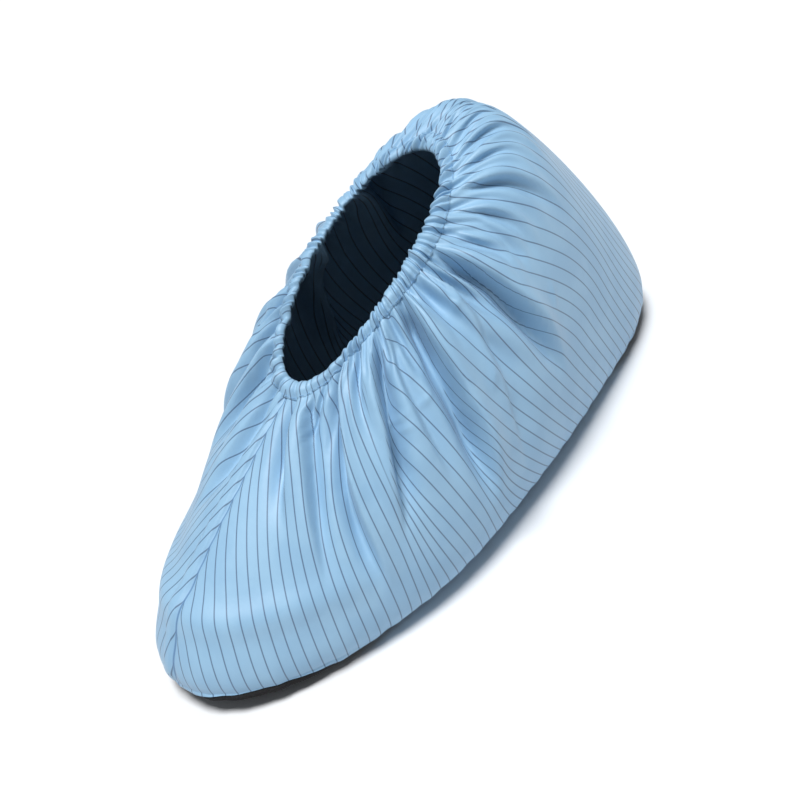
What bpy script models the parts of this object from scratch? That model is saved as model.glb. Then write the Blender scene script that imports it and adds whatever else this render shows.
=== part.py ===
"""Pull-on shoe cover in pleated anti-static cloth with a dark grip sole, standing empty on its sole.

Sizes are in millimetres until the meshes are made. Toe +X, wearer's left +Y, up +Z.
"""
import bpy
import numpy as np

MM = 0.001

# Sole outline
SOLE_LENGTH = 295.0
BALL_WIDTH = 120.0
WAIST_WIDTH = 107.0
HEEL_WIDTH = 92.0
TOE_POWER = 2.3
HEEL_POWER = 2.25
OUTLINE_AT = (-1.0, -0.62, -0.15, 0.32, 1.0)
OUTLINE_HALF = (0.485 * HEEL_WIDTH, 0.5 * HEEL_WIDTH, 0.5 * WAIST_WIDTH, 0.5 * BALL_WIDTH, 0.465 * BALL_WIDTH)

# Lower edge of the wall, which turns under to the seam with the sole
SEAM_HEIGHT = 7.0
SEAM_AT = 0.55
TOE_SPRING = 7.0
SPRING_START = 60.0
SEAM_GAP = 0.3
CASING_GAP = 0.5

# Collar edge
COLLAR_FRONT_X = 41.5
COLLAR_FRONT_Z = 98.0
COLLAR_BACK_X = -59.0
COLLAR_BACK_Z = 144.0
COLLAR_HALF_WIDTH = 24.0
COLLAR_BOW = 5.0

# Cloth, casing and sole thickness
WALL = 1.0
CASING_WIDTH = 9.5
CASING_THICK = 3.0
SOLE_THICK = 1.5
SOLE_ROLL = 15.0

# Shift that puts the middle of the outer box over the origin
CENTRE_SHIFT = 0.8

# Wall sections from toe to heel, as offsets from the seam
# place along the half outline, bulge out, bulge up, shoulder out, shoulder up
SECTIONS = (
    (0.0, 4.0, 20.0, -31.0, 43.0),
    (0.2, 9.0, 16.0, -18.0, 52.0),
    (0.4, 20.0, 14.0, -6.0, 84.0),
    (0.6, 19.0, 18.0, 6.0, 104.0),
    (0.8, 13.0, 26.0, -8.0, 138.0),
    (1.0, 15.0, 42.0, -43.5, 161.0),
)
SHOULDER_WEIGHT = 1.7
SPINE_REACH = 75.0

# Main gathers on each side
# place at the collar, place at the low end, top height, low height, depth, half width
FOLDS = (
    (0.080, 0.135, 1.00, 0.45, 2.2, 5.5),
    (0.225, 0.270, 1.00, 0.48, 2.6, 6.0),
    (0.300, 0.308, 0.78, 0.20, 2.6, 5.5),
    (0.340, 0.370, 1.00, 0.52, 3.2, 6.0),
    (0.452, 0.497, 1.00, 0.22, 4.6, 7.5),
    (0.600, 0.645, 1.00, 0.32, 4.8, 9.0),
    (0.735, 0.785, 1.00, 0.58, 3.0, 6.5),
    (0.840, 0.855, 1.00, 0.78, 2.0, 5.0),
)

# Mesh steps
HALF_COLUMNS = 52
WALL_ROWS = 16
CASING_POINTS = 10
HEM_STEPS = (1.0, 0.67, 0.33)
SOLE_EDGE_STEPS = (0.0, 0.5, 1.0)
SOLE_INNER_STEPS = (0.5, 0.88)


def smooth_table(x, at, value):
    """Smooth curve through a short table, level at both ends."""
    at = np.asarray(at, float)
    value = np.asarray(value, float)
    slope = np.zeros(len(at))
    slope[1:-1] = (value[2:] - value[:-2]) / (at[2:] - at[:-2])
    k = np.clip(np.searchsorted(at, x, side="right") - 1, 0, len(at) - 2)
    h = at[k + 1] - at[k]
    s = np.clip((x - at[k]) / h, 0.0, 1.0)
    a = (1 + 2 * s) * (1 - s) ** 2
    b = s * (1 - s) ** 2
    c = s * s * (3 - 2 * s)
    d = s * s * (s - 1)
    return a * value[k] + b * h * slope[k] + c * value[k + 1] + d * h * slope[k + 1]


def even_curve(x, y, count):
    """The same plane curve as evenly spaced points."""
    run = np.concatenate([[0.0], np.cumsum(np.hypot(np.diff(x), np.diff(y)))])
    at = np.linspace(0.0, run[-1], count)
    return np.interp(at, run, x), np.interp(at, run, y)


def sole_outline(count):
    """Left half of the sole outline, toe to heel."""
    turn = np.linspace(0.0, np.pi, 4001)
    c = np.cos(turn)
    s = np.sin(turn)
    power = np.where(c > 0, TOE_POWER, HEEL_POWER)
    x = 0.5 * SOLE_LENGTH * np.sign(c) * np.abs(c) ** (2 / power)
    half = smooth_table(2 * x / SOLE_LENGTH, OUTLINE_AT, OUTLINE_HALF)
    return even_curve(x, half * np.abs(s) ** (2 / power), count)


def collar_outline(count):
    """Left half of the collar edge, front to back."""
    turn = np.linspace(0.0, np.pi, 4001)
    middle = 0.5 * (COLLAR_FRONT_X + COLLAR_BACK_X)
    reach = 0.5 * (COLLAR_FRONT_X - COLLAR_BACK_X)
    x, y = even_curve(middle + reach * np.cos(turn), COLLAR_HALF_WIDTH * np.abs(np.sin(turn)) ** 0.9, count)
    way = (x - COLLAR_BACK_X) / (COLLAR_FRONT_X - COLLAR_BACK_X)
    z = COLLAR_BACK_Z + (COLLAR_FRONT_Z - COLLAR_BACK_Z) * way + COLLAR_BOW * np.sin(np.pi * way)
    return np.stack([x, y, z], axis=1)


def spring(x):
    """Rise of the toe above the floor."""
    way = np.clip((x - SPRING_START) / (0.5 * SOLE_LENGTH - SPRING_START), 0.0, 1.0)
    return TOE_SPRING * way ** 2


def half_form(columns, steps):
    """Left wall as a grid of points, rows from seam to collar, and the seam's outward directions."""
    q = np.linspace(0.0, 1.0, columns)
    x, y = sole_outline(columns)
    seam = np.stack([x, y, SEAM_HEIGHT + spring(x)], axis=1)
    along = np.gradient(seam[:, :2], axis=0)
    out = np.stack([-along[:, 1], along[:, 0]], axis=1)
    out /= np.linalg.norm(out, axis=1)[:, None]
    out *= np.sign((out * seam[:, :2]).sum(axis=1))[:, None]
    out[0] = (1.0, 0.0)
    out[-1] = (-1.0, 0.0)
    away = seam[:, :2].copy()
    away[:, 0] -= np.clip(x, -SPINE_REACH, SPINE_REACH)
    away /= np.linalg.norm(away, axis=1)[:, None]
    table = np.array(SECTIONS)

    def raised(direction, out_column, up_column):
        point = seam.copy()
        point[:, :2] += direction * smooth_table(q, table[:, 0], table[:, out_column])[:, None]
        point[:, 2] += smooth_table(q, table[:, 0], table[:, up_column])
        return point

    bulge = raised(out, 1, 2)
    shoulder = raised(away, 3, 4)
    collar = collar_outline(columns)
    t = np.linspace(0.0, 1.0, steps)[:, None, None]
    w0 = (1 - t) ** 3
    w1 = 3 * t * (1 - t) ** 2
    w2 = 3 * SHOULDER_WEIGHT * t * t * (1 - t)
    w3 = t ** 3
    grid = (w0 * seam + w1 * bulge + w2 * shoulder + w3 * collar) / (w0 + w1 + w2 + w3)
    return grid, out


def resample(grid, heights):
    """Each column again at the given lengths along the cloth, one list of lengths per column."""
    step = np.linalg.norm(np.diff(grid, axis=0), axis=2)
    run = np.vstack([np.zeros(grid.shape[1]), np.cumsum(step, axis=0)])
    rows = np.empty((heights.shape[0], grid.shape[1], 3))
    for column in range(grid.shape[1]):
        for axis in range(3):
            rows[:, column, axis] = np.interp(heights[:, column], run[:, column], grid[:, column, axis])
    return rows


def lengths(grid):
    """Length of cloth from seam to collar in each column."""
    return np.linalg.norm(np.diff(grid, axis=0), axis=2).sum(axis=0)


def full_ring(half):
    """Left rows joined to their mirror image, as closed rings."""
    right = half[:, -2:0:-1] * np.array([1.0, -1.0, 1.0])
    return np.concatenate([half, right], axis=1)


def outward(rings):
    """Unit normals of closed rings of points that face away from the foot."""
    along = np.roll(rings, -1, axis=1) - np.roll(rings, 1, axis=1)
    up = np.gradient(rings, axis=0)
    normal = np.cross(along, up)
    normal /= np.linalg.norm(normal, axis=2)[:, :, None]
    return normal


def fold_depth(q, u, width):
    """Depth of the main gathers at a place along the outline and a height up the cloth."""
    depth = np.zeros(np.broadcast(q, u).shape)
    for q_top, q_low, u_top, u_low, deep, half in FOLDS:
        way = np.clip((u_top - u) / (u_top - u_low), 0.0, 1.0)
        line = q_top + (q_low - q_top) * way
        across = (q - line) * width / half
        fade_low = np.clip((u - u_low) / 0.25, 0.0, 1.0)
        fade_top = np.clip((1.02 - u) / 0.25, 0.25, 1.0)
        fade_low = fade_low * fade_low * (3 - 2 * fade_low)
        depth += deep * fade_low * fade_top * np.exp(-across ** 2)
    return depth


def ring_faces(rings, columns, closed):
    """Quads between successive rings, and from the last back to the first when closed."""
    faces = []
    last = rings if closed else rings - 1
    for row in range(last):
        above = (row + 1) % rings
        for column in range(columns):
            right = (column + 1) % columns
            faces.append((row * columns + column, row * columns + right,
                          above * columns + right, above * columns + column))
    return faces


def add_part(name, points, faces, colour, roughness):
    """One named solid with a material of its own."""
    moved = (np.asarray(points).reshape(-1, 3) + np.array([CENTRE_SHIFT, 0.0, 0.0])) * MM
    mesh = bpy.data.meshes.new(name)
    mesh.from_pydata(moved.tolist(), [], faces)
    mesh.validate()
    mesh.update()
    for polygon in mesh.polygons:
        polygon.use_smooth = True
    material = bpy.data.materials.new(name + "_material")
    material.use_nodes = True
    shader = material.node_tree.nodes["Principled BSDF"]
    shader.inputs["Base Color"].default_value = (*colour, 1.0)
    shader.inputs["Roughness"].default_value = roughness
    material.diffuse_color = (*colour, 1.0)
    mesh.materials.append(material)
    part = bpy.data.objects.new(name, mesh)
    bpy.context.scene.collection.objects.link(part)
    return part


def edge_turn(edge, lean, out, share):
    """Row of points on the turn from the wall's lower edge to the flat of the sole."""
    drop = (edge[:, 2] - spring(edge[:, 0]) - 0.6) / np.maximum(lean[:, 2], 0.3)
    knee = edge - lean * drop[:, None]
    foot = edge.copy()
    foot[:, :2] -= out * SOLE_ROLL
    foot[:, 2] = spring(foot[:, 0])
    return (1 - share) ** 2 * edge + 2 * share * (1 - share) * knee + share ** 2 * foot


def edge_and_lean(outer):
    """Left half of the wall's lower edge, and its direction up the wall."""
    left = HALF_COLUMNS + 1
    edge = outer[len(HEM_STEPS), :left]
    lean = outer[len(HEM_STEPS) + 1, :left] - edge
    return edge, lean / np.linalg.norm(lean, axis=1)[:, None]


def upper_rings(half, out):
    """Outer and inner rings of the cloth wall, from the seam under the edge to the foot of the casing."""
    top = lengths(half) - CASING_WIDTH - CASING_GAP
    u = np.linspace(0.0, 1.0, WALL_ROWS + 1) ** 0.92
    rows = resample(half, u[:, None] * top[None, :])
    outer = full_ring(rows)
    normal = outward(outer)
    q = np.linspace(0.0, 1.0, rows.shape[1])
    q = np.concatenate([q, q[-2:0:-1]])
    girth = np.linalg.norm(np.roll(outer, -1, axis=1) - outer, axis=2).sum(axis=1) / 2
    outer = outer - normal * fold_depth(q[None, :], u[:, None], girth[:, None])[:, :, None]
    edge = outer[0, :rows.shape[1]]
    lean = outer[1, :rows.shape[1]] - edge
    lean /= np.linalg.norm(lean, axis=1)[:, None]
    hem = np.array([edge_turn(edge, lean, out, step * SEAM_AT) for step in HEM_STEPS])
    outer = np.concatenate([full_ring(hem), outer], axis=0)
    return outer, outer - outward(outer) * WALL


def build_upper(outer, inner):
    """Cloth wall as one hollow solid, open at the collar and underneath."""
    points = np.concatenate([outer, inner[::-1]], axis=0)
    faces = ring_faces(points.shape[0], outer.shape[1], True)
    return add_part("upper", points, faces, (0.37, 0.58, 0.80), 0.62)


def build_casing(half):
    """Gathered casing with the elastic inside, a flat ring round the mouth."""
    whole = lengths(half)
    low = full_ring(resample(half, (whole - CASING_WIDTH)[None, :]))[0]
    ends = full_ring(resample(half, np.stack([whole - CASING_WIDTH, whole])))
    normal = outward(ends).mean(axis=0)
    up = full_ring(half)[-1] - low
    up /= np.linalg.norm(up, axis=1)[:, None]
    turn = np.linspace(0.0, 2 * np.pi, CASING_POINTS, endpoint=False)
    rings = []
    for angle in turn:
        c = np.cos(angle)
        s = np.sin(angle)
        height = 0.5 * CASING_WIDTH * (1 + np.sign(c) * abs(c) ** 0.7)
        thick = 0.5 * CASING_THICK * np.sign(s) * abs(s) ** 0.7
        rings.append(low + up * height + normal * (thick - 0.5 * WALL))
    points = np.array(rings)
    faces = [face[::-1] for face in ring_faces(CASING_POINTS, low.shape[0], True)]
    return add_part("elastic_collar", points, faces, (0.37, 0.58, 0.80), 0.6)


def build_sole(outer, inner, out):
    """Thin grip sole, flat on the floor, with its edge raised to the seam."""
    left = HALF_COLUMNS + 1
    edge, lean = edge_and_lean(outer)
    inwards = edge_turn(edge, lean, out, SEAM_AT + 0.05) - outer[0, :left]
    inwards /= np.linalg.norm(inwards, axis=1)[:, None]
    rows = [outer[0, :left] + inwards * SEAM_GAP]
    for s in SOLE_EDGE_STEPS[1:]:
        rows.append(edge_turn(edge, lean, out, SEAM_AT + s * (1 - SEAM_AT)))
    foot = rows[-1]
    spine = foot.copy()
    spine[:, 0] = np.clip(foot[:, 0], -95.0, 95.0)
    spine[:, 1] = 0.0
    for s in SOLE_INNER_STEPS:
        row = foot + s * (spine - foot)
        row[:, 2] = spring(row[:, 0])
        rows.append(row)
    below = full_ring(np.array(rows))
    normal = outward(below)
    normal[-2:] = (0.0, 0.0, 1.0)
    above = below + normal * SOLE_THICK
    lip = inner[:1, :left] + inwards[None] * SEAM_GAP
    above[:1] = full_ring(lip)
    columns = below.shape[1]
    levels = below.shape[0]
    points = np.concatenate([below[::-1], above], axis=0)
    faces = ring_faces(2 * levels, columns, False)
    middle = columns // 2
    last = (2 * levels - 1) * columns
    for base, flip in ((0, True), (last, False)):
        for column in range(middle):
            near = (base + column, base + column + 1)
            far = (base + (columns - column - 1) % columns, base + (columns - column) % columns)
            face = [*near, *far]
            if column == 0:
                face = [near[0], near[1], far[0]]
            if column == middle - 1:
                face = [near[0], near[1], far[1]]
            faces.append(tuple(face[::-1] if flip else face))
    return add_part("sole", points, faces, (0.012, 0.012, 0.013), 0.75)


for old in list(bpy.data.objects):
    bpy.data.objects.remove(old, do_unlink=True)

wall_form, seam_out = half_form(HALF_COLUMNS + 1, 241)
wall_outer, wall_inner = upper_rings(wall_form, seam_out)
build_upper(wall_outer, wall_inner)
build_casing(wall_form)
build_sole(wall_outer, wall_inner, seam_out)
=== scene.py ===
"""Looks of the anti-static shoe cover: gathered striped cloth, puckered casing and dotted grip sole."""
import bpy
import numpy as np
from mathutils import Matrix, Vector


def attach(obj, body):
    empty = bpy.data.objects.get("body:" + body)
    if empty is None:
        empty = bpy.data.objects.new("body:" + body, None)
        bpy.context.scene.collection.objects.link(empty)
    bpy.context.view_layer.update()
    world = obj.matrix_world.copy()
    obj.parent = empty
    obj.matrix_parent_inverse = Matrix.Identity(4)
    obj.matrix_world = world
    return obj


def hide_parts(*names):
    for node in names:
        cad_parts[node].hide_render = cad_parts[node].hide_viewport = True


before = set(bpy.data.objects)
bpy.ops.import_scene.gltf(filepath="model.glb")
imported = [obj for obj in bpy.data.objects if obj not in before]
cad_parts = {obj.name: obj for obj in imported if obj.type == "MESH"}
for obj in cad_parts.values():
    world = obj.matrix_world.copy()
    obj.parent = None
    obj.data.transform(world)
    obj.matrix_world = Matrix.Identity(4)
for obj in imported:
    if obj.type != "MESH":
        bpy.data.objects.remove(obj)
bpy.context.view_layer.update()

# Lengths are in millimetres until a mesh is made. Toe +X, wearer's left +Y, up +Z.
# A station is a place along the half outline, from 0 at the toe to 1 at the heel.
# A climb is a share of the way up the cloth, from 0 at its lower edge to 1 at the collar.
# A side is 1 for the wearer's left and -1 for the right.
MM = 0.001
SIDES = (1, -1)

# Sole outline, its half widths from heel to toe, and the rise of the toe above the floor
SOLE_LENGTH = 295.0
BALL_WIDTH = 120.0
WAIST_WIDTH = 107.0
HEEL_WIDTH = 92.0
TOE_POWER = 2.3
HEEL_POWER = 2.4
OUTLINE_AT = (-1.0, -0.62, -0.15, 0.32, 1.0)
OUTLINE_HALF = (
    0.485 * HEEL_WIDTH,
    0.5 * HEEL_WIDTH,
    0.5 * WAIST_WIDTH,
    0.5 * BALL_WIDTH,
    0.465 * BALL_WIDTH,
)
TOE_SPRING = 7.0
SPRING_START = 60.0
CENTRE_SHIFT = 0.8

# Lower edge of the cloth: height of its seam, share turned under at each station, and flare there
SEAM_HEIGHT = 7.0
SEAM_AT = (0.0, 0.06, 0.17, 0.32, 0.76, 0.90, 1.0)
SEAM_TURN = (0.30, 0.06, 0.06, 0.50, 0.50, 0.12, 0.20)
SEAM_FLARE = (3.0, 6.0, 6.0, 0.0, 0.0, 5.0, 3.0)
EDGE_CLEAR = 0.4
LEAST_LEAN = 0.3
HEM_STEPS = (1.0, 0.75, 0.5, 0.25)
HEM_DEPTH = 8.0

# Collar edge
COLLAR_FRONT_X = 41.5
COLLAR_FRONT_Z = 98.0
COLLAR_BACK_X = -59.0
COLLAR_BACK_Z = 144.0
COLLAR_HALF_WIDTH = 24.0
COLLAR_POWER = 0.9
COLLAR_BOW = 5.0

# Wall sections from toe to heel, as offsets from the seam
# station, bulge out, bulge up, shoulder out, shoulder up, pull of the shoulder
SECTIONS = (
    (0.0, 4.0, 20.0, -31.0, 43.0, 1.7),
    (0.2, 9.0, 16.0, -18.0, 52.0, 1.7),
    (0.4, 20.0, 14.0, -6.0, 84.0, 1.7),
    (0.6, 19.0, 18.0, 6.0, 104.0, 1.7),
    (0.8, 18.0, 24.0, -8.0, 146.0, 2.2),
    (1.0, 30.0, 28.0, -61.0, 156.0, 4.0),
)
SPINE_REACH = 75.0

# Main folds of the wearer's left side, placed from the photograph, and of the right side
# station at the top, station at the low end, bow between, climb at the top, climb at the low end,
# depth, half width, height of the ridge beside it with the sign of its side
LEFT_FOLDS = (
    (0.030, 0.165, 0.000, 1.00, 0.46, 3.8, 3.0, 0.5),
    (0.155, 0.166, 0.000, 1.00, 0.74, 2.6, 2.4, -0.4),
    (0.125, 0.230, 0.040, 0.88, 0.24, 3.2, 3.4, -0.5),
    (0.215, 0.297, 0.027, 1.00, 0.14, 5.0, 3.4, 0.55),
    (0.312, 0.322, 0.000, 1.00, 0.78, 2.2, 2.4, 0.4),
    (0.360, 0.345, 0.021, 1.00, 0.28, 5.4, 3.2, -0.55),
    (0.405, 0.432, 0.006, 1.00, 0.32, 2.4, 4.0, -0.4),
    (0.460, 0.474, 0.015, 1.00, 0.16, 7.4, 4.0, 0.50),
    (0.525, 0.535, 0.000, 1.00, 0.78, 2.4, 2.6, 0.4),
    (0.578, 0.574, 0.000, 1.00, 0.78, 2.4, 2.6, -0.4),
    (0.575, 0.540, 0.000, 0.74, 0.12, 1.6, 5.0, -0.4),
    (0.592, 0.656, 0.007, 1.00, 0.28, 6.4, 3.4, 0.50),
    (0.650, 0.660, 0.000, 1.00, 0.76, 2.4, 2.6, 0.4),
    (0.690, 0.715, 0.000, 1.00, 0.70, 2.6, 3.0, 0.4),
    (0.735, 0.785, 0.000, 1.00, 0.54, 2.8, 2.8, 0.4),
    (0.792, 0.808, 0.000, 1.00, 0.76, 2.2, 3.0, 0.3),
    (0.842, 0.862, 0.000, 1.00, 0.72, 2.4, 2.4, 0.3),
    (0.900, 0.908, 0.000, 1.00, 0.80, 2.0, 3.0, 0.3),
    (0.955, 0.958, 0.000, 1.00, 0.82, 1.8, 3.0, 0.3),
)
RIGHT_FOLDS = (
    (0.045, 0.130, 0.000, 1.00, 0.40, 2.6, 3.6, 0.3),
    (0.130, 0.200, 0.010, 1.00, 0.34, 3.0, 3.8, -0.3),
    (0.205, 0.268, 0.010, 1.00, 0.38, 3.2, 3.8, 0.3),
    (0.305, 0.338, 0.008, 1.00, 0.20, 4.2, 4.0, 0.3),
    (0.352, 0.372, 0.000, 1.00, 0.72, 2.4, 2.8, 0.3),
    (0.405, 0.445, 0.006, 1.00, 0.30, 4.2, 4.2, -0.2),
    (0.462, 0.485, 0.000, 1.00, 0.70, 2.4, 2.8, 0.3),
    (0.528, 0.568, 0.006, 1.00, 0.18, 5.2, 4.6, 0.2),
    (0.590, 0.610, 0.000, 1.00, 0.72, 2.4, 2.8, -0.3),
    (0.662, 0.712, 0.000, 1.00, 0.38, 4.6, 4.8, 0.2),
    (0.728, 0.745, 0.000, 1.00, 0.74, 2.4, 2.8, 0.3),
    (0.790, 0.822, 0.000, 1.00, 0.56, 2.8, 3.6, 0.3),
    (0.868, 0.880, 0.000, 1.00, 0.74, 2.2, 3.0, 0.3),
    (0.930, 0.936, 0.000, 1.00, 0.80, 1.8, 3.0, 0.3),
)

# Shape of every main fold: width left at the collar, fades in climb, trough and ridge in half widths
FOLD_COLLAR_WIDTH = 0.5
FOLD_WIDEN = 0.3
FOLD_FADE = 0.3
FOLD_FADE_SHARE = 0.8
FOLD_END = 0.98
FOLD_END_FADE = 0.16
FOLD_TOP_FADE = 0.12
TROUGH_STEEP = 0.6
TROUGH_BROAD = 1.6
RIDGE_STEEP = 0.55
RIDGE_BROAD = 2.0

# Short creases between the folds: station, climb, half length, lean in degrees, half width, rise
LEFT_CRINKLES = (
    (0.385, 0.640, 7.0, 8.0, 1.4, 0.60),
    (0.392, 0.605, 6.0, -4.0, 1.2, 0.50),
    (0.440, 0.640, 6.0, 14.0, 1.6, 0.45),
    (0.552, 0.800, 5.0, 48.0, 1.5, 0.80),
    (0.540, 0.560, 9.0, 64.0, 1.8, 0.45),
    (0.690, 0.520, 9.0, 70.0, 2.0, 0.45),
)
RIGHT_CRINKLES = (
    (0.175, 0.600, 6.0, 20.0, 1.4, 0.45),
    (0.372, 0.560, 7.0, -12.0, 1.4, 0.50),
    (0.490, 0.600, 7.0, 10.0, 1.5, 0.50),
    (0.620, 0.560, 8.0, 62.0, 1.8, 0.45),
)

# Gathers that run down from the elastic and merge into wider ones
# pitch in the flat cloth, height of each ridge, low end, fullest climb, share left at the top,
# share at the heel
GATHERS = (
    (9.4, 4.4, 0.840, 0.945, 0.60, 1.00),
    (15.5, 5.4, 0.700, 0.880, 0.28, 0.90),
    (25.0, 5.6, 0.480, 0.780, 0.12, 0.35),
    (40.0, 6.0, 0.200, 0.620, 0.02, 0.10),
)
HEEL_FROM = 0.62
HEEL_OVER = 0.14
GATHER_CLEAR = 0.03
GATHER_SWAY = 2.0
SWAY_ALONG = 9.0
SWAY_UP = 7.0

# How far down the gathers reach at each station, and their strength there on the left and the right
REACH_AT = (0.0, 0.1, 0.3, 0.55, 0.72, 0.86, 1.0)
REACH = (0.55, 0.80, 1.00, 1.00, 0.70, 0.42, 0.40)
GATHER_AT = (0.0, 0.06, 0.13, 0.22, 0.32, 1.0)
LEFT_GATHER = (0.45, 0.40, 0.42, 0.65, 1.00, 1.00)
RIGHT_GATHER = (0.45, 0.75, 0.90, 0.80, 0.75, 0.80)

# Unevenness of the gathers: drift in pitches and pitches per drift, twice, then changing height
FIRST_DRIFT = 0.30
FIRST_DRIFT_PITCHES = 3.7
SECOND_DRIFT = 0.22
SECOND_DRIFT_PITCHES = 2.3
HEIGHT_CHANGE = 0.3
HEIGHT_CHANGE_PITCHES = 5.3
VALLEY_ROUND = 0.02
RIDGE_MEAN = 0.66

# Front and back seams: grooves, puckers of the front one, and the seam allowance pressed to the right
FRONT_GROOVE = 0.9
BACK_GROOVE = 0.7
GROOVE_HALF = 1.1
SEAM_PUCKER = 0.25
SEAM_START = 0.04
ALLOWANCE = 0.8
ALLOWANCE_FROM = 0.8
ALLOWANCE_RISE = 1.2
ALLOWANCE_TO = 5.5
ALLOWANCE_FALL = 1.5

# Two sets of waves where the cloth is eased onto the sole: height, top, clear ends, counts and phases
HEM_WAVE = 0.15
HEM_WAVE_TOP = 0.13
HEM_WAVE_CLEAR = 0.02
FIRST_WAVES = 23
FIRST_PHASE = 1.3
SECOND_WAVES = 37
SECOND_PHASE = 0.7
SECOND_SHARE = 0.6

# Soft edge round the toe: height, climb, half width, station it fades from and over
TOE_EDGE = 1.6
TOE_EDGE_CLIMB = 0.24
TOE_EDGE_HALF = 0.055
TOE_EDGE_FROM = 0.16
TOE_EDGE_OVER = 0.2

# Cut of the side panels: stripes run straight up the flat cloth
STRIPE_PITCH = 5.3
HALF_PERIMETER = 340.0
FRONT_LEAN = 64.0
FRONT_REACH = 0.24
FRONT_CURVE = 1.25
FRONT_FADE = 1.15
TOP_EASE = 36.0
TOP_CURVE = 3.2
TOP_FULL = 0.2
TOP_FULL_CURVE = 1.3
TOP_FADE_FROM = 0.34
TOP_FADE_OVER = 0.22

# Width of cloth hidden in the deepest folds of each side, behind which the stripes lean forward
# station at the top, station at the low edge, climb it starts from, width hidden at the top
LEFT_STEPS = (
    (0.360, 0.362, 0.0, 30.0),
    (0.468, 0.492, 0.0, 44.0),
    (0.600, 0.668, 0.3, 34.0),
)
RIGHT_STEPS = (
    (0.402, 0.452, 0.0, 30.0),
    (0.536, 0.584, 0.0, 44.0),
    (0.670, 0.726, 0.3, 34.0),
)
STEP_BOW = 0.35
LEAN_LOSS = 165.0
LEAN_FROM = 0.36

# Stations over which a hidden width is pinched in, for stripes and for gathers, and its spread at the ends
PINCH = 0.03
GATHER_PINCH = 0.25
LOW_SPREAD = 4
TOP_SPREAD = 0.09
SPREAD_POWER = 4

# Fullness of the cloth: extra width gathered in by the elastic, and extra width further down
COLLAR_FULLNESS = 0.90
COLLAR_FULL_POWER = 5
SIDE_FULLNESS = 0.25
SIDE_FULL_POWER = 2
FULL_FROM = 0.24
FULL_OVER = 0.14
HEEL_FULL = 0.3
HEEL_FULL_FROM = 0.62
HEEL_FULL_OVER = 0.2

# Settling of the cloth: rounds, and how firmly each round corrects it
SETTLE_ROUNDS = 260
STRETCH = 0.6
SHEAR = 0.15
BEND = 0.05
HOLD = 0.02
FOLD_AFTER = 0.6
SEWN_HOLD = 0.5
SEWN_REACH = 8.0
TAUT = 0.985

# Shortest ripple the cloth can hold at each climb and at the casing, the longest it may add,
# rounds between smoothings, and how much each one calms the cloth up and down
RIPPLE_AT = (0.0, 0.2, 0.4, 0.6, 0.75, 0.87, 1.0)
RIPPLE = (36.0, 26.0, 14.0, 7.5, 4.4, 3.0, 2.2)
FINEST_RIPPLE = 1.6
RIPPLE_POWER = 6
BULGE = 60.0
SMOOTH_EVERY = 5
CALM = 0.45

# Casing: size, how far up it is thickest, its thickness at the stitches and the crest, its scallops
CASING_WIDTH = 8.2
CASING_THICK = 4.0
CASING_LAP = 1.0
CASING_MIDDLE = 0.5
CASING_STITCHED = 0.12
CASING_CREST = 0.02
SCALLOP = 0.45

# One stitch: place along it, lift above the casing, share of the full radius
STITCH_SHAPE = (
    (0.00, -0.10, 0.5),
    (0.12, 0.10, 0.9),
    (0.50, 0.18, 1.0),
    (0.88, 0.10, 0.9),
    (1.00, -0.10, 0.5),
)
STITCH_LENGTH = 2.3
STITCH_GAP = 1.0
STITCH_RADIUS = 0.16
STITCH_SIDES = 6
STITCH_ROW = 1

# Sole: thickness, roll of its edge, steps from the edge to the flat and on to the spine, tuck at the edge
SOLE_THICK = 1.2
SOLE_ROLL = 15.0
SOLE_EDGE_STEPS = (0.0, 0.1, 0.25, 0.4, 0.6, 0.8, 1.0)
SOLE_INNER_STEPS = (0.2, 0.45, 0.7, 0.9)
SOLE_SPINE = 95.0
SOLE_TUCK = 0.5
TUCK_REACH = 1.2

# Grip dots: rows, size, and a dome that starts inside the sole, with its rings as shares of its height
DOT_PITCH = 7.0
DOT_ROW = 3.6
DOT_RADIUS = 1.0
DOT_HEIGHT = 0.6
DOT_MARGIN = 11.0
DOT_SIDES = 10
DOT_RINGS = (0.0, 0.55, 0.88)
DOT_DOME = 1.2
DOT_ROUND = 0.8

# Mesh steps
CURVE_POINTS = 4001
FORM_STEPS = 401
HALF_COLUMNS = 320
CLOTH_ROWS = 104
CASING_HALF_COLUMNS = 640
CASING_ROWS = 12

# Limits of the stripes' spread, and the least cell area it is worked out from
LEAST_SPREAD = 0.35
MOST_SPREAD = 3.0
LEAST_CELL = 1e-9

# Colours
CLOTH_BLUE = (0.294, 0.490, 0.672, 1.0)
CLOTH_SHADE = (0.266, 0.456, 0.642, 1.0)
STRIPE_DARK = (0.065, 0.105, 0.190, 1.0)
# Painted shade along the front and back seams, standing in for the shadow in their grooves
SEAM_PAINTED_SHADE = (0.090, 0.190, 0.360, 1.0)
THREAD_BLUE = (0.22, 0.41, 0.64, 1.0)
THREAD_LOW = (0.19, 0.38, 0.61, 1.0)
THREAD_HIGH = (0.26, 0.46, 0.69, 1.0)
SOLE_BLACK = (0.012, 0.012, 0.013, 1.0)
KNIT_LOW = (0.008, 0.008, 0.009, 1.0)
KNIT_HIGH = (0.022, 0.021, 0.022, 1.0)
DOT_BLACK = (0.034, 0.034, 0.036, 1.0)

# Stripes as drawn: half widths of the core and the soft edge, strength, and spreads that hide them
STRIPE_CORE = 0.14
STRIPE_EDGE = 0.40
STRIPE_STRENGTH = 0.80
STRIPE_SEEN = 2.0
STRIPE_HIDDEN = 2.7
WEAVE_PITCH = 0.32

# Camera, from the photograph: angles in degrees about the cover, distances in metres
VIEW_AZIMUTH = 58.0
VIEW_ELEVATION = 40.1
VIEW_ROLL = 20.6
VIEW_DISTANCE = 0.696
VIEW_AIM = (0.0014, 0.0055, 0.0536)
LENS = 72.0
SENSOR = 36.0
CLIP_START = 0.01

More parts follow.
